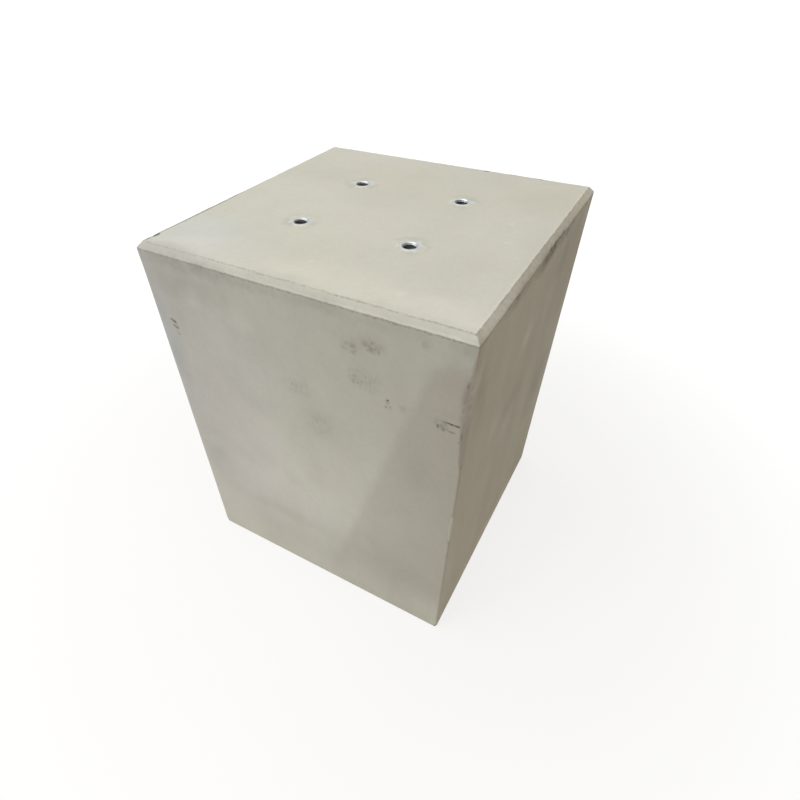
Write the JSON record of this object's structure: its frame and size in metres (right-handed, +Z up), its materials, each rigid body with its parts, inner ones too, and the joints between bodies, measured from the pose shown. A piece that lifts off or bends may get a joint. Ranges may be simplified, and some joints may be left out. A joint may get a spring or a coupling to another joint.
{
  "type": "concrete deck pier block",
  "caption": "Square cast concrete pier block with chamfered top edges and threaded steel sockets cast into its top for a deck post base.",
  "frame": {"origin": "centre of the square base, on the ground", "axes": "+Z up through the top with the sockets, +Y from the front face to the back, +X to the right seen from the front"},
  "size_m": [0.4, 0.4, 0.5],
  "materials": {
    "cast_concrete": "smooth cast grey concrete",
    "zinc_plated_steel": "bright zinc plate on turned steel",
    "plain_steel": "plain mild steel bar"
  },
  "bodies": {
    "root": {"concrete_block": "cast_concrete", "threaded_socket_front_left": "zinc_plated_steel", "threaded_socket_front_right": "zinc_plated_steel", "threaded_socket_back_left": "zinc_plated_steel", "threaded_socket_back_right": "zinc_plated_steel", "anchor_pin_front_left": "plain_steel", "anchor_pin_front_right": "plain_steel", "anchor_pin_back_left": "plain_steel", "anchor_pin_back_right": "plain_steel"}
  },
  "joints": []
}
